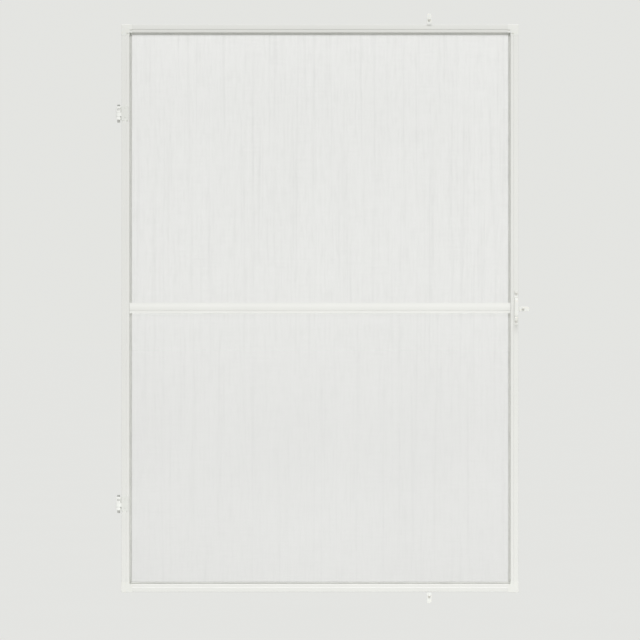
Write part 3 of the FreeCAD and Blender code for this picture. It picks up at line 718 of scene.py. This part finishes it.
wing_y0 = front_y - 3.2
bx = x0 + frame_w * 0.775
btn = [(bx, zt + 11.2), (bx, zb - 11.2), (x1 + 11.2, z_bar - 2.7)]
HEAD_B = 3.6
prof_button = (dome(HEAD_B - 0.1, 1.5, wing_y0 - 2.25)
               + [(HEAD_B, wing_y0 - 0.6), (HEAD_B, wing_y0 - 0.15), (HEAD_B - 0.25, wing_y0 - 0.05), (2.6, wing_y0 - 0.03)]
               + [(2.6, -0.6), (2.45, -0.05), (1.75, 0.0)] + steps(0.15, 20.0, 1.75, 0.175)
               + [(1.5, 20.9), (1.1, 22.2), (0.6, 23.4), (0.25, 23.95), (0.0, 24.0)])
screws("button_screws", "turn_button_screws", "zinc_screw", "casing_side",
       [(x, 0.0, z) for x, z in btn], prof_button, 40, (0.15, 20.0, 1.35, 0.38), (2.0, 1.3, wing_y0 - 2.25))

prof_handle = (dome(3.3, 1.3, front_y - 5.15) + [(3.4, front_y - 3.6), (3.35, front_y - 3.22), (1.75, front_y - 3.21)]
               + [(1.75, front_y - 0.2)] + steps(front_y, front_y + 6.5, 1.75, 0.17)
               + [(1.3, front_y + 7.6), (0.7, front_y + 8.6), (0.0, front_y + 9.0)])
screws("bow_screws", "handle_screws", "zinc_screw", "screen",
       [(hx, 0.0, hz + d) for d in (36.0, -36.0)], prof_handle, 36, (front_y, front_y + 6.5, 1.3, 0.36),
       (2.0, 1.2, front_y - 5.15))

prof_leaf = ([(0.0, front_y - 1.12), (1.5, front_y - 1.1), (2.6, front_y - 1.05), (2.84, front_y - 0.99), (2.88, front_y - 0.92),
              (1.75, front_y + 0.05)] + steps(front_y + 0.2, front_y + 7.0, 1.75, 0.17)
             + [(1.3, front_y + 8.0), (0.7, front_y + 9.0), (0.0, front_y + 9.5)])
screws("plate_screws", "leaf_screws", "white_screw", "screen",
       [(edge_x + 8.6, 0.0, zc + d) for zc in (zc_up, zc_low) for d in (12.0, -12.0)], prof_leaf, 32,
       (front_y + 0.2, front_y + 7.0, 1.3, 0.36), (1.7, 0.95, front_y - 1.1))

# ------------------------------------------------------------------ floor, light and camera
floor_me = bpy.data.meshes.new("floor")
R = 150.0
floor_me.from_pydata([(-R, -R, -1.45), (R, -R, -1.45), (R, R, -1.45), (-R, R, -1.45)], [], [(0, 1, 2, 3)])
floor = bpy.data.objects.new("floor", floor_me)
scene.collection.objects.link(floor)
fm = Mat("floor_paint")
fm.color(fm.ramp(fm.noise(1.3, 3.0), [(0.3, (0.800, 0.804, 0.781, 1)), (0.7, (0.804, 0.808, 0.785, 1))]))
fm.set(Roughness=0.9, Specular_IOR_Level=0.0)
floor_me.materials.append(fm.mat)

world = bpy.data.worlds.new("studio")
scene.world = world
world.use_nodes = True
wt = world.node_tree
bg = wt.nodes["Background"]
bg.inputs["Color"].default_value = (1.0, 1.0, 1.0, 1.0)
bg.inputs["Strength"].default_value = 0.54      # soft light from all round
seen = wt.nodes.new("ShaderNodeBackground")      # plain and pale beyond the floor
seen.inputs["Color"].default_value = rgb(228, 228.6, 225.4)
ray = wt.nodes.new("ShaderNodeLightPath")
both = wt.nodes.new("ShaderNodeMixShader")
wt.links.new(ray.outputs["Is Camera Ray"], both.inputs[0])
wt.links.new(bg.outputs[0], both.inputs[1])
wt.links.new(seen.outputs[0], both.inputs[2])
wt.links.new(both.outputs[0], wt.nodes["World Output"].inputs["Surface"])


def sun(name, strength, angle, direction, color=(1, 1, 1)):
    """direction: from the object towards the light."""
    d = bpy.data.lights.new(name, "SUN")
    d.energy = strength
    d.angle = math.radians(angle)
    d.color = color
    o = bpy.data.objects.new(name, d)
    scene.collection.objects.link(o)
    o.rotation_mode = "QUATERNION"
    o.rotation_quaternion = Vector(direction).to_track_quat("Z", "Y")
    return o


sun("key", 1.60, 20.0, (0.0, -0.55, 0.835))


def soft_box(name, power, size, place, aim, spread=180.0):
    d = bpy.data.lights.new(name, "AREA")
    d.energy = power
    d.shape = "RECTANGLE"
    d.size, d.size_y = size
    d.spread = math.radians(spread)
    o = bpy.data.objects.new(name, d)
    scene.collection.objects.link(o)
    o.location = place
    o.rotation_mode = "QUATERNION"
    o.rotation_quaternion = (Vector(place) - Vector(aim)).to_track_quat("Z", "Y")
    o.visible_camera = False
    return o


# the small ones stand in for light that pale walls would throw under the bar, the handle and the hinges
soft_box("low_fill", 0.42, (1.5, 0.35), (0.51, -0.62, -1.06), (0.51, 0.0, -0.74), 120.0)
soft_box("bar_fill", 0.0068, (0.955, 0.007), (0.5075, -0.0145, -0.0258), (0.5075, 0.0, -0.0258))
soft_box("lip_fill", 0.0063, (0.955, 0.0015), (0.5075, -0.0156, -0.0255), (0.5075, -0.0151, 0.0))
soft_box("handle_fill", 0.00016, (0.005, 0.062), (0.992, -0.022, -0.004), (0.992, 0.0, -0.004))
soft_box("foot_fill", 0.0003, (0.008, 0.018), (hx * MM, -0.033, -0.0405), (hx * MM, -0.033, -0.02))
soft_box("screw_fill", 0.00015, (0.016, 0.012), (hx * MM, -0.0225, -0.0455), (hx * MM, 0.0, -0.0455))
for k, zc in (("up", zc_up), ("low", zc_low)):
    zp = (zc - bracket_half) * MM
    soft_box("plate_fill_" + k, 0.00004, (0.016, 0.0024), (0.0165, -0.0182, zp - 0.0016), (0.0165, 0.0, zp - 0.0016))
soft_box("side_fill", 3.5, (0.8, 1.4), (2.1, -1.7, 0.15), (0.9, 0.0, 0.0))

cam_data = bpy.data.cameras.new("camera")
cam = bpy.data.objects.new("camera", cam_data)
scene.collection.objects.link(cam)
cam_data.sensor_width = 36.0
cam_data.lens = 192.0
cam_data.clip_start, cam_data.clip_end = 0.05, 600.0
cam.location = (0.5075, -8.616, -0.0388)
cam.rotation_euler = (math.pi / 2, 0, 0)
scene.camera = cam
